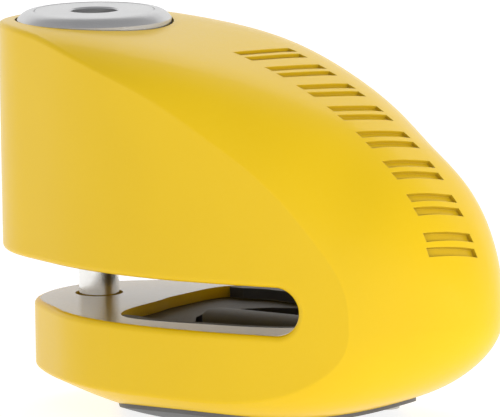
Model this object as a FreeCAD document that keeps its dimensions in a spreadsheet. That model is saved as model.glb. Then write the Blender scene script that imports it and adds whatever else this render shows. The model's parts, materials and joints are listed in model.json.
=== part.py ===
import FreeCAD, Part
import math
import os

import Sketcher
from FreeCAD import Placement, Rotation, Vector

# Disc brake lock: a domed housing with a slot for the disc, and a key barrel that drives the
# locking pin.  Millimetres.  Origin: axis of the locking pin where it meets the floor of the
# disc slot.  +X points to the nose, +Y to the left side, +Z up through the barrel.

doc = FreeCAD.newDocument("disc_brake_lock")

# ------------------------------------------------------------------ driving dimensions
SIZES = [
    ("fit_gap", 0.05, "close gap between fitted parts"),
    ("pin_rad", 2.75, "locking pin"),
    ("pin_tip_z", -5.0, "pin tip, lock shut"),
    ("pin_bevel", 0.6, "bevel of the pin tip"),
    ("pin_head_rad", 5.2, "pin head"),
    ("pin_head_top_z", 17.15, "pin head, upper face"),
    ("pin_hole_rad", 3.265, "pin hole in the lower jaw"),
    ("pin_hole_z", -6.6, "bottom of that hole"),
    ("slot_gap", 6.45, "height of the disc slot"),
    ("slot_end_x", 43.4, "closed end of the slot"),
    ("slot_half_w", 32.0, "slot cutter, half width"),
    ("form_low_z", -25.0, "lower end of the wall and rear forms"),
    ("travel", 12.0, "barrel travel"),
    ("bore_rad", 10.8, "barrel bore in the housing"),
    ("bore_floor_z", 9.5, "floor of the barrel bore"),
    ("foot_rad", 10.7, "barrel, guided foot"),
    ("neck_rad", 10.0, "barrel, neck"),
    ("step_z", 21.3, "barrel step that meets the retaining ring"),
    ("shell_low_z", 15.5, "lower face of the barrel shell"),
    ("shell_top_z", 36.9, "upper face of the barrel shell"),
    ("cap_rad", 10.5, "cap ring"),
    ("cap_bore_rad", 5.4, "cap ring, bore"),
    ("cap_low_z", 36.9, "cap ring, lower face"),
    ("cap_seat_z", 37.9, "cap ring, seat of the cap face"),
    ("cap_edge_z", 37.7, "cap ring, foot of the bevel"),
    ("cap_top_z", 38.9, "cap ring, flat top"),
    ("seam_rad", 8.2, "inner edge of the cap ring"),
    ("keyhole_rad", 3.25, "key opening"),
    ("cap_screw_xy", 4.8, "cap screws, offset in both directions"),
    ("plug_rad", 4.5, "key plug"),
    ("plug_bore_rad", 4.55, "plug bore"),
    ("plug_low_z", 21.95, "plug, lower face"),
    ("plug_head_rad", 5.2, "plug, head"),
    ("plug_head_low_z", 36.0, "plug head, lower face"),
    ("plug_top_z", 36.8, "plug, top"),
    ("clip_rad", 5.2, "plug clip, outside"),
    ("clip_groove_rad", 3.7, "clip groove in the plug"),
    ("clip_groove_low_z", 22.3, "clip groove, lower face"),
    ("clip_groove_top_z", 23.0, "clip groove, upper face"),
    ("keyway_w", 1.8, "keyway width"),
    ("keyway_rear_x", -2.6, "keyway, rear end"),
    ("keyway_front_x", 2.9, "keyway, front end"),
    ("tongue_half_x", 1.6, "plug tongue, half length"),
    ("tongue_half_y", 1.0, "plug tongue, half width"),
    ("tongue_low_z", 20.75, "plug tongue, lower face"),
    ("chamber_rad", 1.3, "tumbler chambers"),
    ("driver_rad", 1.22, "tumbler pins"),
    ("chamber_first_z", 24.9, "first chamber"),
    ("chamber_pitch", 3.1, "chamber pitch"),
    ("cover_half_w", 1.6, "chamber cover, half width"),
    ("cover_in_y", 9.1, "chamber cover, inner face"),
    ("cover_low_z", 23.2, "chamber cover, lower end"),
    ("cover_top_z", 35.7, "chamber cover, upper end"),
    ("ring_low_z", 33.3, "retaining ring, lower face"),
    ("ring_thick", 1.0, "retaining ring, thickness"),
    ("groove_rad", 11.7, "ring and seal grooves"),
    ("seal_mid_z", 35.8, "seal, mid height"),
    ("seal_half_z", 0.75, "seal, half height"),
    ("lip_half_z", 0.25, "seal lip, half height"),
    ("latch_low_z", 17.3, "latch bolt, lower face"),
    ("latch_top_z", 19.7, "latch bolt, upper face"),
    ("latch_half_w", 3.5, "latch bolt, half width"),
    ("recess_depth_x", 12.65, "back of the latch recesses"),
    ("cam_rad", 4.4, "drive cam"),
    ("cam_pin_rad", 0.95, "eccentric drive pin"),
    ("cam_ecc", 1.2, "eccentricity of that pin"),
    ("bush_out_rad", 4.0, "guide bush, outside"),
    ("bush_in_rad", 2.8, "guide bush, inside"),
    ("bush_low_z", 6.6, "guide bush, lower end"),
    ("flange_rim", 0.5, "guide bush, flange beyond the outside"),
    ("flange_thick", 1.1, "guide bush, flange thickness"),
    ("dowel_rad", 1.0, "guide dowel"),
    ("dowel_x", -8.4, "guide dowel position"),
    ("dowel_low_z", 7.6, "guide dowel, lower end"),
    ("dowel_step_z", 28.1, "guide dowel, foot of its narrow tip"),
    ("dowel_gap", 0.08, "gap round the dowel in the barrel"),
    ("base_low_z", 13.6, "barrel base plate, lower face"),
    ("base_bevel", 0.3, "bevel of the base plate"),
    ("screw_y", 7.8, "base plate screws, offset"),
    ("pad_proud", 0.5, "pad stands proud of the bowl"),
    ("pad_depth", 1.5, "pad recess depth"),
    ("pad_form_low_z", -20.0, "pad forms, lower end"),
    ("pad_form_top_z", -4.0, "pad forms, upper end"),
    ("pad_flat_z", -14.4, "flat resting face of the pad"),
    ("pad_screw_a_x", 7.2, "pad screw, rear"),
    ("pad_screw_b_x", 46.4, "pad screw, front"),
    ("shelf_top_z", -1.5, "slot insert, top of the rear shelf"),
    ("motif_depth", 0.55, "depth of the grip bars"),
    ("slot_edge_rad", 0.8, "rounding of the slot's outer edges"),
    ("crease_rad", 0.7, "rounding between the side walls and the dome and bowl"),
]
sheet = doc.addObject("Spreadsheet::Sheet", "Sizes")
for row, (alias, value, note) in enumerate(SIZES, start=1):
    sheet.set("A%d" % row, note)
    sheet.set("B%d" % row, repr(value))
    sheet.setAlias("B%d" % row, alias)
doc.recompute()

# Expressions below write an alias of the sheet as $alias.  Cutting shapes run past the piece
# they cut; such outer limits are plain numbers and can be anything that clears the piece.
UP = Vector(0, 0, 1)
FORWARD = Vector(1, 0, 0)
LEFT = Vector(0, 1, 0)
SLOT_ROUND_X = "$slot_end_x - $slot_gap * 0.5"
LATCH_MID_Z = "($latch_low_z + $latch_top_z) * 0.5"
CHAMBERS = range(4)
CHAMBER_Z = ["$chamber_first_z + $chamber_pitch * %d" % i for i in CHAMBERS]


# ------------------------------------------------------------------ helpers
def size(alias):
    return float(getattr(sheet, alias))


def bind(obj, prop, expression):
    obj.setExpression(prop, expression.replace("$", "Sizes."))


def number(expression):
    """Value of a plain sum of aliases and numbers."""
    total = 0.0
    for term in expression.replace(" ", "").replace("-", "+-").split("+"):
        if term:
            sign = -1.0 if term.startswith("-") else 1.0
            term = term.lstrip("-")
            total += sign * (size(term[1:]) if term.startswith("$") else float(term))
    return total


def both(half):
    """Range symmetric about zero."""
    return "-(%s)" % half, half


def primitive(kind, base, axis=UP, **sizes):
    """Part primitive with its sizes and base point bound to expressions."""
    obj = doc.addObject("Part::" + kind, kind.lower())
    obj.Placement = Placement(Vector(0, 0, 0), Rotation(UP, axis))
    for prop, expression in sizes.items():
        bind(obj, prop, expression)
    for letter, expression in zip("xyz", base):
        bind(obj, "Placement.Base." + letter, expression)
    return obj


def cylinder(radius, low, high, x="0", y="0"):
    """Upright cylinder between two heights."""
    return primitive("Cylinder", (x, y, low), Radius=radius, Height="(%s) - (%s)" % (high, low))


def cylinder_along(axis, radius, length, base):
    return primitive("Cylinder", base, axis, Radius=radius, Height=length)


def box(*ranges):
    """Box from its x, y and z ranges."""
    spans = ["(%s) - (%s)" % (high, low) for low, high in ranges]
    return primitive("Box", [low for low, high in ranges],
                     Length=spans[0], Width=spans[1], Height=spans[2])


def fuse(shapes):
    obj = doc.addObject("Part::MultiFuse", "fuse")
    obj.Shapes = shapes
    return obj


def cut(base, tool):
    obj = doc.addObject("Part::Cut", "cut")
    obj.Base = base
    obj.Tool = tool
    return obj


def common(base, tool):
    obj = doc.addObject("Part::Common", "common")
    obj.Base = base
    obj.Tool = tool
    return obj


def solid(name, shape):
    """Document object that holds a ready-made shape."""
    obj = doc.addObject("Part::Feature", name)
    obj.Shape = shape
    obj.Placement = shape.Placement
    return obj


def body_with_sketch(name, role):
    """Body with an empty sketch on the origin plane of that role."""
    body = doc.addObject("PartDesign::Body", name)
    sketch = body.newObject("Sketcher::SketchObject", name + "_sketch")
    plane = next(item for item in body.Origin.OriginFeatures if item.Role == role)
    sketch.AttachmentSupport = [(plane, "")]
    sketch.MapMode = "FlatFace"
    return body, sketch


def add_lines(sketch, points):
    for start, end in zip(points, points[1:]):
        sketch.addGeometry(Part.LineSegment(start, end), False)


def join_edges(sketch, total):
    """Join each of the sketch's edges to the next, and the last to the first."""
    for i in range(total):
        sketch.addConstraint(Sketcher.Constraint("Coincident", i, 2, (i + 1) % total, 1))


def pad_sketch(body, sketch, low, high):
    """Pad the sketch upwards between two heights."""
    bind(sketch, "AttachmentOffset.Base.z", low)
    doc.recompute()
    pad = body.newObject("PartDesign::Pad", body.Name + "_pad")
    pad.Profile = sketch
    bind(pad, "Length", "(%s) - (%s)" % (high, low))
    body.Tip = pad
    doc.recompute()
    return body


def pad_outline(name, half, low, high, smooth=True):
    """Body padded from a half outline (x, half width) mirrored into a closed loop."""
    body, sketch = body_with_sketch(name, "XY_Plane")
    loop = [Vector(x, -y, 0) for x, y in half]
    loop += [Vector(x, y, 0) for x, y in reversed(half) if y > 1e-9]
    if smooth:
        curve = Part.BSplineCurve()
        curve.interpolate(Points=loop, PeriodicFlag=True)
        sketch.addGeometry(curve, False)
    else:
        add_lines(sketch, loop + loop[:1])
        join_edges(sketch, len(loop))
    return pad_sketch(body, sketch, low, high)


def adjusted(half, split_x, rear_shift, front_shift=0.0, side_inset=0.0):
    """Half outline shifted in x behind and ahead of split_x, and narrowed at the side."""
    return [(x + (rear_shift if x < split_x else front_shift), max(y - side_inset, 0))
            for x, y in half]


def revolve(name, profile):
    """Body turned about Z from a closed profile of (radius, height) expressions.  A third entry
    'arc' makes the edge that leaves the point an arc that ends horizontal."""
    body, sketch = body_with_sketch(name, "XZ_Plane")
    points = [Vector(number(entry[0]), number(entry[1]), 0) for entry in profile]
    total = len(points)
    for i, entry in enumerate(profile):
        start, end = points[i], points[(i + 1) % total]
        if len(entry) > 2:
            across, rise = start.x - end.x, end.y - start.y
            radius = (across * across + rise * rise) / (2.0 * rise)
            centre = Vector(end.x, end.y - radius, 0)
            angle = math.atan2(start.y - centre.y, start.x - centre.x)
            circle = Part.Circle(centre, UP, radius)
            sketch.addGeometry(Part.ArcOfCircle(circle, angle, math.pi / 2), False)
        else:
            sketch.addGeometry(Part.LineSegment(start, end), False)
    join_edges(sketch, total)
    for i, (point, entry) in enumerate(zip(points, profile)):
        for kind, value, expression in (("DistanceX", point.x, entry[0]),
                                        ("DistanceY", point.y, entry[1])):
            if kind == "DistanceX" and abs(value) < 1e-9:
                sketch.addConstraint(Sketcher.Constraint("PointOnObject", i, 1, -2))
                continue
            index = sketch.addConstraint(Sketcher.Constraint(kind, -1, 1, i, 1, value))
            bind(sketch, "Constraints[%d]" % index, expression)
    doc.recompute()
    turn = body.newObject("PartDesign::Revolution", name + "_turn")
    turn.Profile = sketch
    turn.ReferenceAxis = (sketch, ["V_Axis"])
    turn.Angle = 360.0
    body.Tip = turn
    doc.recompute()
    return body


def coil(radius, wire, length, turns, base, axis=UP):
    """Coil spring from a base point along an axis; wire is the wire's radius."""
    rise = length - 2 * wire
    helix = Part.makeHelix(rise / turns, rise, radius)
    section = Part.Wire(Part.Circle(Vector(radius, 0, 0), LEFT, wire).toShape())
    spring = Part.Wire(helix).makePipeShell([section], True, True)
    spring.translate(Vector(0, 0, wire))
    spring.Placement = Placement(base, Rotation(UP, axis)).multiply(spring.Placement)
    return spring


def screw(x, y, shank, head):
    """Upright screw; shank and head are (radius, low, high)."""
    return fuse([cylinder(*shank, x, y), cylinder(*head, x, y)])


# ------------------------------------------------------------------ housing, outer form
# The body is a rounded blank cut off by upright side walls.  Cross-sections of the blank normal
# to X are superellipses whose crest, keel, half width and powers run smoothly from rear to nose.
NOSE_X, CENTRE_Z = 62.987, 1.429
CREST_X, CREST_Z, CREST_POWER = -3.486, 37.9, 2.0
CREST_FALL, CREST_FALL_RUN = 1.2, 15.0    # the crest falls again behind CREST_X
KEEL_X, KEEL_Z, KEEL_POWER = 22.25, -14.198, 2.155
KEEL_RISE, KEEL_RISE_RUN = 4.966, 30.0    # the keel rises again behind KEEL_X
WIDE_X, HALF_WIDTH, WIDTH_POWER = 12.89, 22.781, 2.0
LEAST_POWER = 1.9
# (x, power of the superellipse) for the upper and the lower half of the sections
UPPER_POWERS = [(-13, 5.287), (-2, 5.197), (9, 5.187), (20, 5.245), (31, 4.167), (41, 3.239),
                (49, 2.68), (56, 2.92), (63, 2.10)]
LOWER_POWERS = [(-8, 1.90), (2, 2.05), (12, 2.566), (22, 2.943), (32, 3.41), (42, 3.528),
                (50, 2.92), (57, 2.08), (63, 2.04)]
STATIONS = [-22, -17, -12, -7, -2, 3, 8, 13, 18, 23, 28, 33, 37.5, 41.5, 45, 48, 51, 53.7, 56.0,
            57.7, 59.2, 60.4, 61.3, 61.95, 62.4, 62.7, 62.88]    # x of the sections
SECTION_POINTS = 56


def natural_spline(knots):
    """Natural cubic spline through (x, value) knots, held constant outside."""
    xs, values = zip(*knots)
    total = len(knots)
    steps = [xs[i + 1] - xs[i] for i in range(total - 1)]
    ratio, load, second = [0.0] * total, [0.0] * total, [0.0] * total
    for i in range(1, total - 1):
        change = 6.0 * ((values[i + 1] - values[i]) / steps[i]
                        - (values[i] - values[i - 1]) / steps[i - 1])
        pivot = 2.0 * (steps[i - 1] + steps[i]) - steps[i - 1] * ratio[i - 1]
        ratio[i] = steps[i] / pivot
        load[i] = (change - steps[i - 1] * load[i - 1]) / pivot
    for i in range(total - 2, 0, -1):
        second[i] = load[i] - ratio[i] * second[i + 1]

    def value_at(x):
        if x <= xs[0]:
            return values[0]
        if x >= xs[-1]:
            return values[-1]
        i = 0
        while x > xs[i + 1]:
            i += 1
        step = steps[i]
        before, after = (xs[i + 1] - x) / step, (x - xs[i]) / step
        bend = (before ** 3 - before) * second[i] + (after ** 3 - after) * second[i + 1]
        return before * values[i] + after * values[i + 1] + bend * step * step / 6.0
    return value_at


upper_power_at = natural_spline(UPPER_POWERS)
lower_power_at = natural_spline(LOWER_POWERS)


def taper(x, start, power):
    """Factor that runs from 1 at start to 0 at the nose."""
    part = min(max((x - start) / (NOSE_X - start), 0.0), 1.0)
    return math.sqrt(max(1 - part ** power, 0.0))


def crest_at(x):
    return (CENTRE_Z + (CREST_Z - CENTRE_Z) * taper(x, CREST_X, CREST_POWER)
            - CREST_FALL * (max(CREST_X - x, 0) / CREST_FALL_RUN) ** 2)


def keel_at(x):
    return (CENTRE_Z + (KEEL_Z - CENTRE_Z) * taper(x, KEEL_X, KEEL_POWER)
            + KEEL_RISE * (max(KEEL_X - x, 0) / KEEL_RISE_RUN) ** 2)


def section(x):
    """Closed superellipse wire of the blank at one station."""
    above, below = crest_at(x) - CENTRE_Z, CENTRE_Z - keel_at(x)
    half = HALF_WIDTH * taper(x, WIDE_X, WIDTH_POWER)
    upper = max(upper_power_at(x), LEAST_POWER)
    lower = max(lower_power_at(x), LEAST_POWER)
    points = []
    for i in range(SECTION_POINTS):
        angle = 2 * math.pi * i / SECTION_POINTS
        across, rise = math.cos(angle), math.sin(angle)
        power, height = (upper, above) if rise >= 0 else (lower, below)
        reach = (abs(across) ** power + abs(rise) ** power) ** (-1.0 / power)
        points.append(Vector(x, half * reach * across, CENTRE_Z + height * reach * rise))
    curve = Part.BSplineCurve()
    curve.interpolate(Points=points, PeriodicFlag=True,
                      Parameters=[i / float(SECTION_POINTS) for i in range(SECTION_POINTS + 1)])
    return Part.Wire(curve.toShape())


def blank(lift=0.0):
    """Solid blank, optionally lifted."""
    wires = [section(x) for x in STATIONS]
    wires.append(Part.Vertex(Vector(NOSE_X, 0, CENTRE_Z)))
    body = Part.makeLoft(wires, True, False)
    body.translate(Vector(0, 0, lift))
    return body


# ------------------------------------------------------------------ housing, cutters
# Half outlines in plan, rear to front: (x, half width)
WALL = [(-13, 0), (-12.2, 4.5), (-9.6, 8.8), (-5.3, 12.2), (0, 14.6), (5, 16.6), (10, 18.1),
        (16, 19.2), (23, 19.6), (30, 19.2), (37, 18.2), (44, 16.8), (51, 14.9), (57, 12.8),
        (66, 10.5), (74, 8), (78, 0)]
LOWER_REAR = [(-7.4, 0), (-6.9, 3.9), (-5.4, 7.6), (-2.8, 10.2), (0.5, 12.7), (4.2, 15.3),
              (9, 17.6), (16, 19.25), (20, 20.0), (26, 21.5)]
POCKET = [(10.8, 0), (11.0, 6), (11.5, 10.5), (12.6, 12.9), (15.0, 14.6), (18, 15.0), (22, 14.7),
          (26, 14.0), (31, 13.2), (35, 12.2), (38.5, 10.6), (41.2, 8.0), (42.6, 4.4), (43.0, 0)]
PAD = [(3.9, 0), (4.8, 2.6), (6.7, 5.6), (8.7, 8.4), (10.4, 10.7), (11.8, 12.5), (13.9, 14.8),
       (16.8, 16.4), (21, 17.3), (27, 17.6), (32.5, 16.8), (36.8, 15.3), (40.8, 12.9),
       (44.0, 9.8), (46.8, 6.4), (49.2, 3.2), (50.0, 0)]

# Grip bars: pairs of slanted bars spread along the crest
BAR_PAIRS = 8
BARS_START, BARS_STOP = 5.4, 50.0    # run along the crest from x = 20
PAIR_SPACE = 0.36                    # offset of a pair's second bar, in pitches
END_SPACE = 0.42                     # part of the last pitch that is left out
BAR_SLANT = 1.05                     # each end's offset along the crest
BAR_SINK, BAR_HEIGHT = 4, 9          # start below the crest, and height of the cutting bars
SHRINK_CENTRE, SHRINK_REACH = Vector(20, 0, 2), 36.0    # reach: centre to crest, roughly


def rear_trim():
    """Cutter that ends the lower jaw short of the upper one at the rear."""
    body, sketch = body_with_sketch("rear_trim", "XY_Plane")
    points = [Vector(x, -y, 0) for x, y in reversed(LOWER_REAR)]
    points += [Vector(x, y, 0) for x, y in LOWER_REAR[1:]]
    curve = Part.BSplineCurve()
    curve.interpolate(Points=points)
    sketch.addGeometry(curve, False)
    corners = [Vector(x, y, 0) for x, y in ((26, 32), (-30, 32), (-30, -32), (26, -32))]
    add_lines(sketch, [points[-1]] + corners + [points[0]])
    return pad_sketch(body, sketch, "$form_low_z", "$slot_gap * 0.5")


def disc_slot():
    """Straight slot, closed by a full round."""
    return fuse([
        box(("-40", SLOT_ROUND_X), both("$slot_half_w"), ("0", "$slot_gap")),
        cylinder_along(-LEFT, "$slot_gap * 0.5", "$slot_half_w * 2",
                       (SLOT_ROUND_X, "$slot_half_w", "$slot_gap * 0.5"))])


def housing_bores():
    latch_recesses = [
        box(("8", "$recess_depth_x"), both("$latch_half_w + 0.2"),
            ("$latch_low_z - 0.3" + lift, "$latch_top_z + 0.3" + lift))
        for lift in ("", " + $travel")]
    return fuse([
        cylinder("$bore_rad", "$bore_floor_z", "60"),
        cylinder("$groove_rad", "$ring_low_z - $fit_gap", "$ring_low_z + $ring_thick + $fit_gap"),
        cylinder("$groove_rad", "$seal_mid_z - $seal_half_z - 0.1",
                 "$seal_mid_z + $seal_half_z + 0.1"),
        cylinder("$bush_out_rad", "3", "$bore_floor_z + 1"),
        cylinder("$dowel_rad", "$dowel_low_z", "$bore_floor_z + 1", "$dowel_x")]
        + latch_recesses + [
        cylinder("$pin_hole_rad", "$pin_hole_z", "1"),
        cylinder("0.85", "-15", "-5", "$pad_screw_a_x"),
        cylinder("0.85", "-15", "-4", "$pad_screw_b_x")])


def pad_recess():
    """Recess for the base pad, a constant depth inside the bowl."""
    form = pad_outline("pad_recess_form", PAD, "$pad_form_low_z", "$pad_form_top_z")
    return cut(form, solid("bowl_inner_form", blank(lift=size("pad_depth"))))


def slanted_bars():
    """Slanted bars across the dome, spread evenly along its crest."""
    crest = [(x / 4.0, crest_at(x / 4.0)) for x in range(80, 252)]
    run = [0.0]
    for (x0, z0), (x1, z1) in zip(crest, crest[1:]):
        run.append(run[-1] + math.hypot(x1 - x0, z1 - z0))

    def frame_at(distance):
        """Point on the crest, its tangent and its outward normal."""
        i = 1
        while i < len(run) - 1 and run[i] < distance:
            i += 1
        part = (distance - run[i - 1]) / (run[i] - run[i - 1])
        (x0, z0), (x1, z1) = crest[i - 1], crest[i]
        dx, dz = x1 - x0, z1 - z0
        length = math.hypot(dx, dz)
        return (Vector(x0 + part * dx, 0, z0 + part * dz),
                Vector(dx / length, 0, dz / length), Vector(-dz / length, 0, dx / length))

    pitch = (BARS_STOP - BARS_START) / (BAR_PAIRS - END_SPACE)
    bars = []
    for pair in range(BAR_PAIRS):
        for second in (0, 1):
            distance = BARS_START + pair * pitch + second * pitch * PAIR_SPACE
            part = (distance - BARS_START) / (BARS_STOP - BARS_START)
            point, tangent, normal = frame_at(distance)
            # towards the nose the bars drift to the right and get shorter and thinner
            mid_y = 3.8 - 8.2 * part
            half = 5.3 - 1.6 * part
            edge = (1.45 - 0.2 * part) / 2
            corners = [point + tangent * along + Vector(0, mid_y + across, 0) - normal * BAR_SINK
                       for along, across in ((-BAR_SLANT - edge, -half), (-BAR_SLANT + edge, -half),
                                             (BAR_SLANT + edge, half), (BAR_SLANT - edge, half))]
            face = Part.Face(Part.makePolygon(corners + corners[:1]))
            bars.append(face.extrude(normal * BAR_HEIGHT))
    return Part.makeCompound(bars)


def grip_bars():
    """Bars less a slightly shrunk blank, so that they cut the dome to an even depth."""
    shrink = 1 - size("motif_depth") / SHRINK_REACH
    inner = solid("dome_inner_form", blank().scaled(shrink, SHRINK_CENTRE))
    return cut(solid("grip_bar_form", slanted_bars()), inner)


def outer_edges(shape, kind):
    """The slot's outer edges, or the creases between the side walls and the dome or bowl."""
    found = []
    for edge in shape.Edges:
        surfaces = [face.Surface.TypeId for face in shape.ancestorsOfType(edge, Part.Face)]
        if "Part::GeomSurfaceOfExtrusion" not in surfaces or edge.Length < 1:
            continue
        first, last = edge.FirstParameter, edge.LastParameter
        points = [edge.valueAt(first + (last - first) * k / 6.0) for k in range(7)]
        far = max(abs(point.y) for point in points)
        top = max(point.z for point in points)
        low = min(point.z for point in points)
        freeform = "Part::GeomBSplineSurface" in surfaces
        in_slot = low > -0.01 and top < size("slot_gap") + 0.01
        if kind == "slot" and not freeform and far > 16 and in_slot:
            found.append(edge)
        if (kind == "crease" and freeform and far > 18.5 and edge.Length > 5
                and (top > 8 or low < -5)):
            found.append(edge)
    return found


def softened(shape):
    """Round the slot's outer edges first, then the creases."""
    body = shape.Solids[0]
    for kind, radius in (("slot", "slot_edge_rad"), ("crease", "crease_rad")):
        edges = outer_edges(body, kind)
        if not edges:
            raise RuntimeError("no %s edges found" % kind)
        body = body.makeFillet(size(radius), edges)
        body.fix(1e-4, 1e-4, 1e-3)
        if len(body.Solids) != 1 or not body.isValid():
            raise RuntimeError("rounding the %s edges failed" % kind)
        body = body.Solids[0]
    return body


# ------------------------------------------------------------------ pieces
# Each function from here to the end of the barrel is named after the piece it builds.
def housing():
    rough = common(solid("blank_form", blank()),
                   pad_outline("wall_form", WALL, "$form_low_z", "45"))
    cutters = fuse([rear_trim(), disc_slot(), housing_bores(),
                    pad_outline("pocket_form", POCKET, low="-16", high="0.5"),
                    pad_recess(), grip_bars()])
    sharp = cut(rough, cutters)
    doc.recompute()
    return solid("housing", softened(sharp.Shape))


def base_pad():
    outer_bowl = solid("bowl_outer_form", blank(lift=-size("pad_proud")))
    inner_bowl = solid("bowl_seat_form", blank(lift=size("pad_depth") - size("fit_gap")))
    outline = adjusted(PAD, split_x=27, rear_shift=0.08, front_shift=-0.08, side_inset=0.08)
    form = pad_outline("pad_form", outline, "$pad_form_low_z", "$pad_form_top_z")
    tools = fuse([
        box(("-10", "70"), both("30"), ("-30", "$pad_flat_z")),
        cylinder("1.15", "-20", "-4", "$pad_screw_a_x"),
        cylinder("1.15", "-20", "-4", "$pad_screw_b_x"),
        cylinder("2.0", "-20", "-11.9", "$pad_screw_a_x"),
        cylinder("2.0", "-20", "-10.8", "$pad_screw_b_x")])
    return cut(cut(common(form, outer_bowl), inner_bowl), tools)


# x, then (radius, low, high) of the shank, the head and the socket
PAD_SCREWS = [
    ("$pad_screw_a_x", ("0.8", "-12.0", "-5.4"), ("1.8", "-12.9", "-11.95"),
     ("0.7", "-13.5", "-12.4")),
    ("$pad_screw_b_x", ("0.8", "-10.9", "-4.4"), ("1.8", "-11.7", "-10.85"),
     ("0.7", "-13.0", "-11.25")),
]


def pad_screws():
    return fuse([cut(screw(x, "0", shank, head), cylinder(*socket, x))
                 for x, shank, head, socket in PAD_SCREWS])


# Half outlines of the slot insert, rear to front: (x, half width)
TRAY = [(10.95, 0), (11.15, 6), (11.65, 10.4), (12.75, 12.75), (15.05, 14.45), (18, 14.85),
        (22, 14.55), (26, 13.85), (31, 13.05), (35, 12.05), (38.4, 10.45), (41.05, 7.9),
        (42.45, 4.35), (42.85, 0)]
TRAY_INSIDE = [(13.2, 0), (13.3, 6), (13.6, 10.0), (14.6, 11.9), (16.4, 13.0), (18.5, 13.35),
               (22, 13.1), (26, 12.4), (31, 11.6), (35, 10.6), (37.6, 9.4), (39.8, 7.2),
               (41.0, 4.2), (41.4, 0)]
HUMP = [(18.2, 0), (18.9, 2.6), (20.8, 5.4), (23.5, 7.6), (27, 9.0), (31, 9.6), (35, 9.3),
        (38.4, 7.9), (40.6, 5.0), (41.2, 0)]
HUMP_GAP = [(17.2, 0), (18.0, 3.0), (20.0, 6.1), (22.8, 8.5), (26.6, 10.1), (31, 10.8),
            (36, 11.5), (44, 12.5), (46, 0)]


def slot_insert():
    """Tray with side walls, a humped floor and a rear shelf, with a gap between the two."""
    outside = pad_outline("tray_outer_form", TRAY, low="-9.0", high="-0.05")
    inside = pad_outline("tray_inner_form", adjusted(TRAY_INSIDE, split_x=14, rear_shift=1.0),
                         low="-6.5", high="1")
    rear_opening = fuse([box(("9", "13.0"), both("20"), ("$shelf_top_z", "1")),
                         box(("9", "15.2"), both("12.6"), ("$shelf_top_z", "1"))])
    tray = cut(cut(outside, inside), rear_opening)

    hump_form = pad_outline("hump_form", HUMP, low="-8", high="0")
    hump = common(hump_form, cylinder_along(FORWARD, "17", "40", ("12", "0", "-17.75")))

    shelf_outline = adjusted([point for point in TRAY if point[0] < 36],
                             split_x=15, rear_shift=0.5, side_inset=0.5) + [(37.5, 0)]
    shelf_form = pad_outline("shelf_form", shelf_outline, low="-8", high="$shelf_top_z")
    gap_form = pad_outline("gap_form", HUMP_GAP, low="-7.5", high="1", smooth=False)
    shelf = cut(cut(shelf_form, gap_form), box(("26", "50"), both("20"), ("-9", "1")))
    return fuse([tray, hump, shelf])


# ------------------------------------------------------------------ guide parts in the housing
def guide_bush():
    return revolve("guide_bush", [
        ("$bush_in_rad", "$bush_low_z"),
        ("$bush_out_rad", "$bush_low_z"),
        ("$bush_out_rad", "$bore_floor_z"),
        ("$bush_out_rad + $flange_rim", "$bore_floor_z"),
        ("$bush_out_rad + $flange_rim", "$bore_floor_z + $flange_thick"),
        ("$bush_in_rad", "$bore_floor_z + $flange_thick")])


def guide_dowel():
    return fuse([cylinder("$dowel_rad", "$dowel_low_z", "$dowel_step_z", "$dowel_x"),
                 cylinder("$dowel_rad - 0.3", "$dowel_step_z", "$dowel_step_z + 0.4", "$dowel_x")])


def ring_profile(inner, outer, low, high):
    return [(inner, low), (outer, low), (outer, high), (inner, high)]


def retaining_ring():
    """Flat ring, open at the rear."""
    ring = revolve("ring_form", ring_profile("$neck_rad + 0.08", "$groove_rad - 0.1",
                                             "$ring_low_z", "$ring_low_z + $ring_thick"))
    return cut(ring, box(("-14", "0"), both("1.2"), ("30", "36")))


def wiper_seal():
    """Seal with a lip narrowed towards the neck."""
    lip, root, outer = "$neck_rad + $fit_gap", "$neck_rad + 0.35", "$groove_rad - $fit_gap"
    return revolve("wiper_seal", [
        (lip, "$seal_mid_z - $lip_half_z"), (root, "$seal_mid_z - $seal_half_z"),
        (outer, "$seal_mid_z - $seal_half_z"), (outer, "$seal_mid_z + $seal_half_z"),
        (root, "$seal_mid_z + $seal_half_z"), (lip, "$seal_mid_z + $lip_half_z")])


def return_spring():
    """Spring between the bore floor and the base plate, 0.02 clear of both."""
    low, high = size("bore_floor_z") + 0.02, size("base_low_z") - 0.02
    return solid("return_spring", coil(radius=5.35, wire=0.35, length=high - low, turns=4,
                                       base=Vector(0, 0, low)))


# ------------------------------------------------------------------ barrel
def barrel_shell():
    below = "$shell_low_z - 1"
    shell = revolve("shell_form", [
        ("$plug_bore_rad", "$shell_low_z"), ("$foot_rad", "$shell_low_z"),
        ("$foot_rad", "$step_z"), ("$neck_rad", "$step_z"),
        ("$neck_rad", "$shell_top_z"), ("$plug_bore_rad", "$shell_top_z")])
    chambers = [cylinder_along(LEFT, "$chamber_rad", "8", ("0", "3", z)) for z in CHAMBER_Z]
    tools = fuse([
        cylinder("5.4", below, "$clip_groove_top_z"),
        box(("-7.0", "12"), both("$latch_half_w + $fit_gap"), (below, "$latch_top_z + 0.1")),
        cylinder("$plug_head_rad + 0.1", "$plug_head_low_z - 0.1", "38"),
        cylinder("$dowel_rad + $dowel_gap", below, "29.0", "$dowel_x"),
        cylinder("0.8", below, "20.2", "0", "$screw_y"),
        cylinder("0.8", below, "20.2", "0", "-$screw_y"),
        cylinder("0.8", "33.2", "38", "$cap_screw_xy", "-$cap_screw_xy"),
        cylinder("0.8", "33.2", "38", "-$cap_screw_xy", "-$cap_screw_xy"),
        box(both("$cover_half_w + $fit_gap"), ("$cover_in_y - $fit_gap", "12"),
            ("$cover_low_z - $fit_gap", "$cover_top_z + $fit_gap"))] + chambers)
    return cut(shell, tools)


def chamber_cover():
    return box(both("$cover_half_w"), ("$cover_in_y", "9.8"), ("$cover_low_z", "$cover_top_z"))


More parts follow.
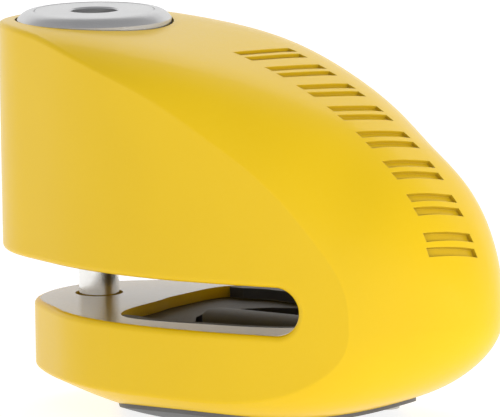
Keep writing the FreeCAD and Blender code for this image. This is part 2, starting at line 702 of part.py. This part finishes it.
def driver_pins():
    return fuse([cylinder_along(LEFT, "$driver_rad", "6.95 - 4.62", ("0", "4.62", z))
                 for z in CHAMBER_Z])


def tumbler_springs():
    heights = [size("chamber_first_z") + i * size("chamber_pitch") for i in CHAMBERS]
    return solid("tumbler_springs", Part.makeCompound([
        coil(radius=0.88, wire=0.17, length=2.05, turns=4, base=Vector(0, 7.0, z), axis=LEFT)
        for z in heights]))


def key_plug():
    """Plug turned to its release position: its own chambers point to -X."""
    plug = revolve("plug_form", [
        ("0", "$plug_low_z"), ("$plug_rad", "$plug_low_z"),
        ("$plug_rad", "$clip_groove_low_z"), ("$clip_groove_rad", "$clip_groove_low_z"),
        ("$clip_groove_rad", "$clip_groove_top_z"), ("$plug_rad", "$clip_groove_top_z"),
        ("$plug_rad", "$plug_head_low_z"), ("$plug_head_rad", "$plug_head_low_z"),
        ("$plug_head_rad", "$plug_top_z"), ("0", "$plug_top_z")])
    keyway = box(("$keyway_rear_x", "$keyway_front_x"), both("$keyway_w * 0.5"), ("23.2", "38"))
    chambers = [cylinder_along(-FORWARD, "$chamber_rad", "5.2", ("0", "0", z))
                for z in CHAMBER_Z]
    tongue = box(both("$tongue_half_x"), both("$tongue_half_y"), ("$tongue_low_z", "22.0"))
    return fuse([cut(plug, fuse([keyway] + chambers)), tongue])


KEY_PIN_TIPS = ["-1.3", "-0.7", "-1.6", "-1.0"]    # x of the tips, lowest pin first


def key_pin(tip, z):
    """Pin along X with a conical tip towards +X."""
    shaft = cylinder_along(-FORWARD, "$driver_rad", "4.38 + (%s) - 0.5" % tip,
                           (tip + " - 0.5", "0", z))
    point = primitive("Cone", (tip + " - 0.55", "0", z), FORWARD,
                      Radius1="$driver_rad", Radius2="0.5", Height="0.55")
    return fuse([shaft, point])


def plug_clip():
    """Flat clip, open at the rear."""
    ring = revolve("clip_form", ring_profile(
        "$clip_groove_rad + $fit_gap", "$clip_rad",
        "$clip_groove_low_z + $fit_gap", "$clip_groove_top_z - $fit_gap"))
    return cut(ring, box(("-7", "0"), both("1.6"), ("22", "24")))


def drive_cam():
    disc = revolve("cam_form", ring_profile("0", "$cam_rad", "$latch_top_z + 0.2",
                                            "$plug_low_z - $fit_gap"))
    tongue_slot = box(both("$tongue_half_x + $fit_gap"), both("$tongue_half_y + $fit_gap"),
                      ("$tongue_low_z - $fit_gap", "23"))
    pin = cylinder("$cam_pin_rad", "$latch_low_z + 0.1", "$latch_top_z + 0.3",
                   "-$cam_ecc * 0.70711", "$cam_ecc * 0.70711")
    return fuse([cut(disc, tongue_slot), pin])


def latch_bolt():
    """Bolt with a nose rounded to the foot, a window and a blind hole in its rear end."""
    bar = box(("-4.8", "12"), both("$latch_half_w"), ("$latch_low_z", "$latch_top_z"))
    bolt = common(bar, cylinder("$foot_rad - 0.1", "10", "30"))
    tools = fuse([box(both("1.9"), both("2.4"), ("10", "30")),
                  cylinder_along(FORWARD, "0.95", "2.0", ("-5.0", "0", LATCH_MID_Z))])
    return cut(bolt, tools)


def latch_spring():
    mid_z = (size("latch_low_z") + size("latch_top_z")) / 2
    return solid("latch_spring", coil(radius=0.62, wire=0.14, length=3.9, turns=6,
                                      base=Vector(-6.95, 0, mid_z), axis=FORWARD))


def locking_pin():
    """Pin whose head rests on the base plate."""
    return revolve("locking_pin", [
        ("0", "$pin_tip_z"), ("$pin_rad - $pin_bevel", "$pin_tip_z"),
        ("$pin_rad", "$pin_tip_z + $pin_bevel"), ("$pin_rad", "$shell_low_z"),
        ("$pin_head_rad", "$shell_low_z"), ("$pin_head_rad", "$pin_head_top_z"),
        ("0", "$pin_head_top_z")])


def barrel_base():
    """Base plate with a curved rib at the front."""
    plate = revolve("plate_form", [
        ("2.8", "$base_low_z"), ("$foot_rad - $base_bevel", "$base_low_z"),
        ("$foot_rad", "$base_low_z + $base_bevel"), ("$foot_rad", "$shell_low_z"),
        ("2.8", "$shell_low_z")])
    rib_block = box(("5.1", "12"), both("3.4"), ("$shell_low_z - 0.5", "$latch_low_z - 0.1"))
    rib = cut(common(rib_block, cylinder("$foot_rad", "10", "30")), cylinder("5.35", "10", "30"))
    tools = fuse([
        cylinder("$dowel_rad + $dowel_gap", "10", "30", "$dowel_x"),
        cylinder("0.9", "10", "20", "0", "$screw_y"),
        cylinder("0.9", "10", "20", "0", "-$screw_y"),
        cylinder("1.6", "10", "$base_low_z + 1.0", "0", "$screw_y"),
        cylinder("1.6", "10", "$base_low_z + 1.0", "0", "-$screw_y")])
    return cut(fuse([plate, rib]), tools)


def base_plate_screws():
    """Two slotted screws."""
    return fuse([
        cut(screw("0", y, shank=("0.75", "$base_low_z + 0.9", "19.8"),
                  head=("1.5", "$base_low_z + 0.1", "$base_low_z + 0.95")),
            box(both("0.2"), (y + " - 1.2", y + " + 1.2"), ("$base_low_z", "$base_low_z + 0.5")))
        for y in ("$screw_y", "-$screw_y")])


CAP_SCREW_X = ("$cap_screw_xy", "-$cap_screw_xy")


def cap_ring():
    ring = revolve("cap_ring_form", [
        ("$cap_bore_rad", "$cap_low_z"), ("$cap_rad", "$cap_low_z"),
        ("$cap_rad", "$cap_edge_z", "arc"), ("$seam_rad + 0.2", "$cap_top_z"),
        ("$seam_rad + 0.06", "$cap_top_z"), ("$seam_rad", "$cap_top_z - 0.06"),
        ("$seam_rad", "$cap_seat_z"), ("$cap_bore_rad", "$cap_seat_z")])
    holes = [cylinder(radius, low, "39", x, "-$cap_screw_xy")
             for radius, low in (("0.9", "36"), ("1.1", "37.2")) for x in CAP_SCREW_X]
    return cut(ring, fuse(holes))


def cap_screws():
    return fuse([
        cut(screw(x, "-$cap_screw_xy", shank=("0.75", "33.5", "37.3"),
                  head=("1.05", "37.22", "37.85")),
            cylinder("0.45", "37.5", "39", x, "-$cap_screw_xy"))
        for x in CAP_SCREW_X])


def cap_face():
    return revolve("cap_face", [
        ("$keyhole_rad", "$cap_seat_z + $fit_gap"),
        ("$seam_rad - 0.06", "$cap_seat_z + $fit_gap"),
        ("$seam_rad - 0.06", "$cap_top_z - 0.1"), ("$seam_rad - 0.12", "$cap_top_z - 0.04"),
        ("$keyhole_rad + 0.2", "$cap_top_z - 0.04"), ("$keyhole_rad", "$cap_top_z - 0.24")])


def anti_drill_disc():
    disc = revolve("disc_form", ring_profile("0", "5.1", "36.85", "37.85"))
    return cut(disc, box(("$keyway_rear_x", "$keyway_front_x"), both("$keyway_w * 0.5 + 0.1"),
                         ("36", "39")))


# ------------------------------------------------------------------ build, check and export
pieces = []
for build in (housing, base_pad, pad_screws, slot_insert, guide_bush, guide_dowel,
              retaining_ring, wiper_seal, return_spring, barrel_shell, chamber_cover,
              driver_pins, tumbler_springs, key_plug, plug_clip, drive_cam, latch_bolt,
              latch_spring, locking_pin, barrel_base, base_plate_screws, cap_ring, cap_screws,
              cap_face, anti_drill_disc):
    piece = build()
    piece.Label = build.__name__
    pieces.append(piece)
for index, (tip, z) in enumerate(zip(KEY_PIN_TIPS, CHAMBER_Z), start=1):
    piece = key_pin(tip, z)
    piece.Label = "key_pin_%d" % index
    pieces.append(piece)

doc.recompute()
for obj in doc.Objects:
    if "Invalid" in obj.State or "Error" in obj.State:
        raise RuntimeError("%s failed: %s" % (obj.Name, obj.State))
for piece in pieces:
    shape = piece.Shape
    if shape.isNull() or not shape.isValid() or not shape.Solids or shape.Volume <= 0:
        raise RuntimeError("%s has no valid solid" % piece.Label)

os.makedirs("parts", exist_ok=True)
for piece in pieces:
    shape = piece.Shape
    if len(shape.Solids) == 1:
        shape = shape.Solids[0]
    shape.exportStep("parts/%s.step" % piece.Label)
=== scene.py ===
"""Looks, floor, lights and camera for a machined product.

The pieces come ready-made from the CAD: a yellow painted body with steel, brass, bronze,
zinc, plastic and rubber pieces. They are in metres with +Z up, and the floor lies at the
bottom of the CAD box. Azimuths start at -Y and turn towards +X; elevations rise from the
XY plane.
"""
import json
import math

import bmesh
import bpy
from mathutils import Matrix, Vector


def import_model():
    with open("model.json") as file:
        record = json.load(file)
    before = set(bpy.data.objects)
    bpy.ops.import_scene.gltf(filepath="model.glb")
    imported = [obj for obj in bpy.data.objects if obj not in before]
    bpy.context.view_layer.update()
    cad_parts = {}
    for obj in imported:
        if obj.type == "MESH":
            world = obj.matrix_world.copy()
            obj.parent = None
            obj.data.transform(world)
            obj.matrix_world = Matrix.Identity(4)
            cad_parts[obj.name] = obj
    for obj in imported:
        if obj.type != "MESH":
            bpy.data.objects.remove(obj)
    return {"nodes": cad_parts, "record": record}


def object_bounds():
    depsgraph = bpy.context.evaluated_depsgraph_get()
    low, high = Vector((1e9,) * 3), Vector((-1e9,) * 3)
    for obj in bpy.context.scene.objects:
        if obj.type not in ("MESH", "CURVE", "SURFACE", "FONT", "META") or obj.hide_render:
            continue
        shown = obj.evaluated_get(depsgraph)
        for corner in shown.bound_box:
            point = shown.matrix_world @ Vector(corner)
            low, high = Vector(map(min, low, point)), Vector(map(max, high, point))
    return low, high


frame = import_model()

CAD_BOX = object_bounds()
MM = 0.001

# The camera's azimuth, which the floor is turned to as well
VIEW_AZIMUTH = math.radians(34)
VIEW_RIGHT = Vector((math.cos(VIEW_AZIMUTH), math.sin(VIEW_AZIMUTH), 0))
VIEW_AWAY = Vector((-math.sin(VIEW_AZIMUTH), math.cos(VIEW_AZIMUTH), 0))


# ------------------------------------------------------------------ shader helpers
class Mat:
    """A node material whose textures are laid out in millimetres on the piece itself.

    Sizes, radii, reaches and depths are in mm. Each bump is stacked on the normal before it.
    """

    def __init__(self, name):
        self.mat = bpy.data.materials.new(name)
        self.mat.use_nodes = True
        self.tree = self.mat.node_tree
        self.tree.nodes.clear()
        output = self.node("ShaderNodeOutputMaterial")
        self.bsdf = self.node("ShaderNodeBsdfPrincipled")
        self.put(output.inputs[0], self.bsdf.outputs[0])
        coords = self.node("ShaderNodeTexCoord")
        self.mm = self.scaled(coords.outputs["Object"], (1 / MM, 1 / MM, 1 / MM))
        self.normal = None

    def node(self, kind, **props):
        node = self.tree.nodes.new(kind)
        for key, value in props.items():
            setattr(node, key, value)
        return node

    def put(self, socket, value):
        """Link a socket, or set it to a number or an RGB colour."""
        if isinstance(value, bpy.types.NodeSocket):
            self.tree.links.new(value, socket)
        elif isinstance(value, tuple):
            socket.default_value = (*value, 1)
        else:
            socket.default_value = value

    def set(self, **values):
        """Set Principled inputs, with underscores for the spaces in their names."""
        for key, value in values.items():
            self.put(self.bsdf.inputs[key.replace("_", " ")], value)

    # --- coordinates and arithmetic
    def scaled(self, vector, scale):
        mapping = self.node("ShaderNodeMapping")
        mapping.inputs["Scale"].default_value = scale
        self.put(mapping.inputs["Vector"], vector)
        return mapping.outputs[0]

    def stretch(self, x, y, z):
        """Coordinates multiplied per axis: a larger factor makes features shorter."""
        return self.scaled(self.mm, (x, y, z))

    def separate(self, vector):
        split = self.node("ShaderNodeSeparateXYZ")
        self.put(split.inputs[0], vector)
        return split.outputs

    def calc(self, operation, first, second=None):
        math_node = self.node("ShaderNodeMath", operation=operation)
        self.put(math_node.inputs[0], first)
        if second is not None:
            self.put(math_node.inputs[1], second)
        return math_node.outputs[0]

    def remap(self, value, to=(0, 1), source=(0.3, 0.7)):
        """Map the source range to another; the usual source is the bulk of a noise."""
        remap = self.node("ShaderNodeMapRange")
        self.put(remap.inputs[0], value)
        for i, limit in enumerate((*source, *to), start=1):
            remap.inputs[i].default_value = limit
        return remap.outputs[0]

    # --- textures
    def noise(self, size, detail=3.0, rough=0.5, vector=None):
        """Noise whose features are about `size` across."""
        texture = self.node("ShaderNodeTexNoise")
        self.put(texture.inputs["Vector"], vector or self.mm)
        texture.inputs["Scale"].default_value = 1.0 / size
        texture.inputs["Detail"].default_value = detail
        texture.inputs["Roughness"].default_value = rough
        return texture.outputs["Fac"]

    def cells(self, size):
        """Distance from the centres of cells about `size` across."""
        texture = self.node("ShaderNodeTexVoronoi", feature="F1")
        self.put(texture.inputs["Vector"], self.mm)
        texture.inputs["Scale"].default_value = 1.0 / size
        return texture.outputs["Distance"]

    def lines(self, size, distance):
        """Noise that varies along one distance only, like tool marks."""
        combine = self.node("ShaderNodeCombineXYZ")
        self.put(combine.inputs[0], distance)
        return self.noise(size, detail=2.0, rough=0.6, vector=combine.outputs[0])

    def rings(self, size, wobble):
        """Turned rings about the Z axis."""
        x, y, _ = self.separate(self.mm)
        x_squared = self.calc("MULTIPLY", x, x)
        y_squared = self.calc("MULTIPLY", y, y)
        radius = self.calc("SQRT", self.calc("ADD", x_squared, y_squared))
        drift = self.calc("MULTIPLY", self.noise(size=3.0), wobble)
        return self.lines(size, self.calc("ADD", radius, drift))

    def bands(self, size):
        """Turned lines stacked along the Z axis."""
        return self.lines(size, self.separate(self.mm)[2])

    # --- colour
    def mix(self, factor, base, over):
        mix = self.node("ShaderNodeMix", data_type="RGBA")
        # Inputs 6 and 7 and output 2 are the colour sockets
        self.put(mix.inputs[0], factor)
        self.put(mix.inputs[6], base)
        self.put(mix.inputs[7], over)
        return mix.outputs[2]

    def shade(self, value, base, over, amount=(0, 1), source=(0.3, 0.7)):
        """Lay `over` on `base`, by an amount that follows the value."""
        return self.mix(self.remap(value, amount, source), base, over)

    def wear(self, base, over, radius, amount):
        """Lay `over` on the sharp edges."""
        return self.mix(self.calc("MULTIPLY", self.edge(radius), amount), base, over)

    # --- shape
    def bevel(self, radius):
        bevel = self.node("ShaderNodeBevel", samples=6)
        bevel.inputs["Radius"].default_value = radius * MM
        return bevel.outputs[0]

    def round_edges(self, radius):
        self.normal = self.bevel(radius)

    def edge(self, radius):
        """About 1 on sharp edges and 0 away from them."""
        geometry = self.node("ShaderNodeNewGeometry")
        rounded = self.bevel(radius)
        dot = self.node("ShaderNodeVectorMath", operation="DOT_PRODUCT")
        self.put(dot.inputs[0], geometry.outputs["Normal"])
        self.put(dot.inputs[1], rounded)
        return self.remap(dot.outputs["Value"], source=(0.995, 0.86))

    def hollow(self, reach):
        """Near 1 in the open and lower in recesses; used to paint shade into recesses."""
        occlusion = self.node("ShaderNodeAmbientOcclusion", samples=6)
        occlusion.inputs["Distance"].default_value = reach * MM
        return occlusion.outputs["AO"]

    def bump(self, height, depth, strength):
        bump = self.node("ShaderNodeBump")
        bump.inputs["Strength"].default_value = strength
        bump.inputs["Distance"].default_value = depth * MM
        self.put(bump.inputs["Height"], height)
        if self.normal is not None:
            self.put(bump.inputs["Normal"], self.normal)
        self.normal = bump.outputs[0]

    def done(self):
        if self.normal is not None:
            self.set(Normal=self.normal)
        return self.mat


# ------------------------------------------------------------------ materials
def yellow_paint():
    m = Mat("yellow_paint")
    m.round_edges(radius=0.12)
    cloud = m.noise(size=22, detail=2)
    speck = m.noise(size=0.5, detail=4, rough=0.6)
    color = m.shade(cloud, base=(0.860, 0.560, 0.004), over=(0.835, 0.540, 0.003),
                    source=(0.35, 0.65))
    color = m.shade(speck, base=color, over=(0.90, 0.62, 0.03), amount=(0, 0.10))
    # Painted shade: the yellow turns dark brown in recesses, driven by ambient occlusion
    color = m.shade(m.hollow(reach=1.6), base=color, over=(0.36, 0.235, 0.012),
                    amount=(0.75, 0.0), source=(0.35, 0.98))
    color = m.wear(color, over=(0.90, 0.64, 0.08), radius=0.22, amount=0.25)

    # The slot floor faces up at z = 0; it gets a painted reflection below
    geometry = m.node("ShaderNodeNewGeometry")
    facing = m.separate(geometry.outputs["True Normal"])
    place = m.separate(m.mm)
    faces_up = m.remap(facing[2], source=(0.985, 0.998))
    at_zero = m.remap(m.calc("ABSOLUTE", place[2]), to=(1, 0), source=(0.03, 0.06))
    slot_floor = m.calc("MULTIPLY", faces_up, at_zero)

    m.set(Roughness=m.remap(speck, to=(0.40, 0.50)), IOR=1.5, Specular_IOR_Level=0.08,
          Coat_Roughness=m.remap(m.noise(size=9, detail=2), to=(0.17, 0.22)), Coat_IOR=1.5)
    m.bump(m.noise(size=1.1, detail=2, rough=0.45), depth=0.010, strength=0.35)
    # Painted reflection: that face is painted a greyer beige, and it is glossier than the rest
    painted_reflection = m.shade(cloud, base=(0.40, 0.355, 0.24), over=(0.36, 0.32, 0.215))
    m.set(Coat_Normal=m.normal, Base_Color=m.mix(slot_floor, color, painted_reflection),
          Coat_Weight=m.remap(slot_floor, to=(0.5, 1.0), source=(0, 1)))
    return m.done()


def nickel(name, light, dark, fleck, grain, tooling, side):
    """Turned nickel; `grain` and `tooling` are bump strengths, `side` takes bands for rings."""
    m = Mat(name)
    m.round_edges(radius=0.06)
    speck = m.noise(size=0.11, rough=0.7)
    turned = m.bands(size=0.10) if side else m.rings(size=0.085, wobble=0.06)
    color = m.shade(m.noise(size=6), base=light, over=dark)
    color = m.shade(speck, base=color, over=fleck, amount=(0, 0.35), source=(0.35, 0.65))
    m.set(Base_Color=color, Metallic=1.0, Roughness=m.remap(speck, to=(0.30, 0.42)))
    m.bump(speck, depth=0.006, strength=grain)
    m.bump(turned, depth=0.006, strength=tooling)
    return m.done()


def satin_steel():
    return nickel("satin_steel", light=(0.66, 0.66, 0.655), dark=(0.60, 0.60, 0.60),
                  fleck=(0.50, 0.50, 0.51), grain=0.55, tooling=0.15, side=False)


def turned_steel():
    return nickel("turned_steel", light=(0.50, 0.50, 0.50), dark=(0.44, 0.44, 0.445),
                  fleck=(0.40, 0.40, 0.41), grain=0.25, tooling=0.35, side=True)


def pin_steel():
    m = Mat("pin_steel")
    m.round_edges(radius=0.08)
    turned = m.bands(size=0.06)
    color = m.shade(m.noise(size=4), base=(0.86, 0.85, 0.82), over=(0.79, 0.775, 0.745))
    m.set(Base_Color=color, Metallic=1.0, Anisotropic=0.4,
          Roughness=m.remap(m.noise(size=0.4), to=(0.19, 0.26)))
    m.bump(turned, depth=0.004, strength=0.25)
    return m.done()


def hard_steel():
    m = Mat("hard_steel")
    m.round_edges(radius=0.06)
    color = m.shade(m.noise(size=2.2, detail=4), base=(0.30, 0.30, 0.31),
                    over=(0.22, 0.205, 0.19), source=(0.35, 0.65))
    color = m.wear(color, over=(0.55, 0.55, 0.56), radius=0.10, amount=0.7)
    m.set(Base_Color=color, Metallic=1.0,
          Roughness=m.remap(m.noise(size=0.3), to=(0.30, 0.45)))
    brushed = m.noise(size=0.12, detail=2, vector=m.stretch(x=1, y=5, z=1))
    m.bump(brushed, depth=0.006, strength=0.3)
    return m.done()


def screw_steel():
    m = Mat("screw_steel")
    m.round_edges(radius=0.07)
    color = m.shade(m.noise(size=1.5), base=(0.52, 0.53, 0.55), over=(0.47, 0.45, 0.40))
    m.set(Base_Color=color, Metallic=1.0,
          Roughness=m.remap(m.noise(size=0.2), to=(0.24, 0.38)))
    m.bump(m.bands(size=0.12), depth=0.004, strength=0.3)
    return m.done()


def spring_steel():
    m = Mat("spring_steel")
    color = m.shade(m.noise(size=1.2), base=(0.42, 0.42, 0.43), over=(0.30, 0.29, 0.28))
    m.set(Base_Color=color, Metallic=1.0,
          Roughness=m.remap(m.noise(size=0.15, detail=2), to=(0.22, 0.36)))
    drawn = m.noise(size=0.10, detail=2, vector=m.stretch(x=1, y=1, z=4))
    m.bump(drawn, depth=0.003, strength=0.4)
    return m.done()


def brass():
    m = Mat("brass")
    m.round_edges(radius=0.05)
    color = m.shade(m.noise(size=3.0), base=(0.78, 0.55, 0.20), over=(0.62, 0.40, 0.13))
    # Painted shade: the brass turns dark brown in recesses, driven by ambient occlusion
    color = m.shade(m.hollow(reach=1.0), base=color, over=(0.20, 0.12, 0.04),
                    amount=(0.6, 0), source=(0.3, 0.95))
    m.set(Base_Color=color, Metallic=1.0,
          Roughness=m.remap(m.noise(size=0.3), to=(0.20, 0.34)))
    m.bump(m.rings(size=0.09, wobble=0.05), depth=0.005, strength=0.3)
    return m.done()


def bronze():
    m = Mat("bronze")
    pores = m.cells(size=0.22)
    color = m.shade(pores, base=(0.58, 0.36, 0.17), over=(0.16, 0.09, 0.04),
                    amount=(1, 0), source=(0.05, 0.28))
    m.set(Base_Color=color, Metallic=1.0,
          Roughness=m.remap(pores, to=(0.6, 0.36), source=(0.0, 0.5)))
    m.bump(pores, depth=0.02, strength=0.4)
    return m.done()


def zinc_cast():
    m = Mat("zinc_cast")
    m.round_edges(radius=0.08)
    color = m.shade(m.noise(size=2.5, detail=5, rough=0.6), base=(0.50, 0.50, 0.51),
                    over=(0.36, 0.36, 0.375))
    m.set(Base_Color=color, Metallic=1.0,
          Roughness=m.remap(m.noise(size=0.25), to=(0.42, 0.58)))
    m.bump(m.noise(size=0.35, detail=4, rough=0.6), depth=0.02, strength=0.4)
    return m.done()


def black_plastic():
    m = Mat("black_plastic")
    m.round_edges(radius=0.16)
    grain = m.cells(size=0.16)
    fine = m.noise(size=0.09, rough=0.6)
    color = m.shade(m.noise(size=5), base=(0.0125, 0.0125, 0.0130), over=(0.021, 0.021, 0.022))
    color = m.wear(color, over=(0.075, 0.075, 0.077), radius=0.30, amount=0.55)
    m.set(Base_Color=color, Roughness=m.remap(fine, to=(0.42, 0.60)), IOR=1.5,
          Specular_IOR_Level=0.55)
    m.bump(grain, depth=0.018, strength=0.45)
    m.bump(fine, depth=0.006, strength=0.35)
    return m.done()


def grey_pad():
    m = Mat("grey_pad")
    m.round_edges(radius=0.2)
    grain = m.cells(size=0.30)
    fine = m.noise(size=0.12, detail=4, rough=0.6)
    color = m.shade(m.noise(size=7, detail=4), base=(0.095, 0.095, 0.100),
                    over=(0.125, 0.124, 0.126))
    color = m.shade(fine, base=color, over=(0.19, 0.19, 0.19), amount=(0, 0.35),
                    source=(0.4, 0.7))
    m.set(Base_Color=color, Roughness=m.remap(fine, to=(0.62, 0.82)), IOR=1.48,
          Sheen_Weight=0.12, Sheen_Roughness=0.5)
    m.bump(grain, depth=0.03, strength=0.45)
    m.bump(fine, depth=0.008, strength=0.4)
    return m.done()


def seal_rubber():
    m = Mat("seal_rubber")
    m.round_edges(radius=0.1)
    fine = m.noise(size=0.1, rough=0.6)
    color = m.shade(m.noise(size=2.5), base=(0.012, 0.012, 0.012), over=(0.026, 0.025, 0.025))
    m.set(Base_Color=color, Roughness=m.remap(fine, to=(0.5, 0.7)), IOR=1.5)
    m.bump(fine, depth=0.01, strength=0.4)
    return m.done()


def floor_white():
    m = Mat("floor_white")
    color = m.shade(m.noise(size=60), base=(0.40, 0.40, 0.40), over=(0.38, 0.38, 0.38))
    m.set(Base_Color=color, Roughness=0.85, Specular_IOR_Level=0.1,
          Emission_Color=(1.0, 1.0, 1.0), Emission_Strength=0.80)
    return m.done()


def dress_pieces():
    """Give each piece the material its slot names; the barrel's shell has its own."""
    makers = (yellow_paint, grey_pad, black_plastic, seal_rubber, satin_steel, pin_steel,
              hard_steel, screw_steel, spring_steel, bronze, brass, zinc_cast)
    materials = {make.__name__: make() for make in makers}
    shell_steel = turned_steel()
    for part in frame["record"]["subparts"]:
        mesh = frame["nodes"][part["node"]].data
        is_shell = part["node"] == "barrel_shell"
        mesh.materials.clear()
        mesh.materials.append(shell_steel if is_shell else materials[part["material_slot"]])
        for face in mesh.polygons:
            face.material_index = 0


# ------------------------------------------------------------------ floor
def floor():
    """A pale sheet that curves up into a wall far behind the object."""
    near, far = -3.0, 3.0
    bend, bend_steps = 1.2, 12
    wall_top = 3.0
    half_width = 4.0
    bottom = CAD_BOX[0][2]

    # Profile: distance away from the camera, height
    profile = [(near, 0.0), (far - bend, 0.0)]
    for k in range(1, bend_steps + 1):
        angle = math.pi / 2 * k / bend_steps
        profile.append((far - bend + bend * math.sin(angle), bend - bend * math.cos(angle)))
    profile.append((far, wall_top))

    bm = bmesh.new()
    rows = [[bm.verts.new(VIEW_AWAY * distance + VIEW_RIGHT * side * half_width
                          + Vector((0, 0, bottom + height))) for side in (-1, 1)]
            for distance, height in profile]
    for (left, right), (next_left, next_right) in zip(rows, rows[1:]):
        bm.faces.new((left, right, next_right, next_left))
    mesh = bpy.data.meshes.new("floor")
    bm.to_mesh(mesh)
    bm.free()
    for face in mesh.polygons:
        face.use_smooth = True
    sheet = bpy.data.objects.new("floor", mesh)
    bpy.context.scene.collection.objects.link(sheet)
    mesh.materials.append(floor_white())


# ------------------------------------------------------------------ camera
def camera():
    elevation, roll = math.radians(9), math.radians(0.85)
    aim_right, aim_up = 20.74, 11.12  # mm from the origin, in the unrolled view
    distance = 0.9478

    sin_az, cos_az = math.sin(VIEW_AZIMUTH), math.cos(VIEW_AZIMUTH)
    sin_el, cos_el = math.sin(elevation), math.cos(elevation)
    up = Vector((-sin_az * sin_el, cos_az * sin_el, cos_el))
    back = Vector((sin_az * cos_el, -cos_az * cos_el, sin_el))
    rolled_right = VIEW_RIGHT * math.cos(roll) - up * math.sin(roll)
    rolled_up = VIEW_RIGHT * math.sin(roll) + up * math.cos(roll)
    target = (VIEW_RIGHT * aim_right + up * aim_up) * MM

    data = bpy.data.cameras.new("camera")
    data.lens, data.sensor_width = 500, 36
    data.clip_start, data.clip_end = 0.05, 50
    cam = bpy.data.objects.new("camera", data)
    turn = Matrix((rolled_right, rolled_up, back)).transposed().to_4x4()
    cam.matrix_world = Matrix.Translation(target + back * distance) @ turn
    bpy.context.scene.collection.objects.link(cam)
    bpy.context.scene.camera = cam


# ------------------------------------------------------------------ light
LIGHT_AIM = Vector((0.02, 0, 0.01))
# Name, azimuth and elevation in degrees, distance, width, height, watts
SOFTBOXES = (
    ("key_box", -10, 12, 1.3, 1.2, 0.4, 0.8),
    ("side_box", 86, 4, 1.0, 0.5, 0.1, 4.3),
    ("top_box", 214, 60, 1.0, 0.6, 0.6, 2.3),
)


def softbox(name, azimuth, elevation, distance, width, height, watts):
    """An area light facing LIGHT_AIM, left out of reflections."""
    az, el = math.radians(azimuth), math.radians(elevation)
    way = Vector((math.sin(az) * math.cos(el), -math.cos(az) * math.cos(el), math.sin(el)))
    data = bpy.data.lights.new(name, "AREA")
    data.shape = "RECTANGLE"
    data.size, data.size_y = width, height
    data.energy = watts
    light = bpy.data.objects.new(name, data)
    light.location = LIGHT_AIM + way * distance
    light.rotation_euler = way.to_track_quat("Z", "Y").to_euler()
    light.visible_glossy = False
    bpy.context.scene.collection.objects.link(light)


def world():
    """A sky that is white at the horizon and greyer overhead."""
    studio = bpy.data.worlds.new("studio")
    bpy.context.scene.world = studio
    studio.use_nodes = True
    nodes, link = studio.node_tree.nodes, studio.node_tree.links.new
    nodes.clear()
    output = nodes.new("ShaderNodeOutputWorld")
    background = nodes.new("ShaderNodeBackground")
    coords = nodes.new("ShaderNodeTexCoord")
    split = nodes.new("ShaderNodeSeparateXYZ")
    ramp = nodes.new("ShaderNodeValToRGB")
    link(coords.outputs["Generated"], split.inputs[0])
    link(split.outputs[2], ramp.inputs[0])
    link(ramp.outputs[0], background.inputs[0])
    link(background.outputs[0], output.inputs[0])
    background.inputs["Strength"].default_value = 1.0

    # A new ramp has stops at 0, the horizon, and 1, straight up
    stops = ramp.color_ramp.elements
    stops[0].color = (1.0, 1.0, 1.0, 1)
    stops[1].color = (0.42, 0.42, 0.43, 1)
    stops.new(0.12).color = (0.93, 0.93, 0.93, 1)
    stops.new(0.42).color = (0.56, 0.56, 0.57, 1)


dress_pieces()
floor()
camera()
for box in SOFTBOXES:
    softbox(*box)
world()
bpy.context.scene.view_settings.view_transform = "Standard"
bpy.context.scene.view_settings.look = "None"
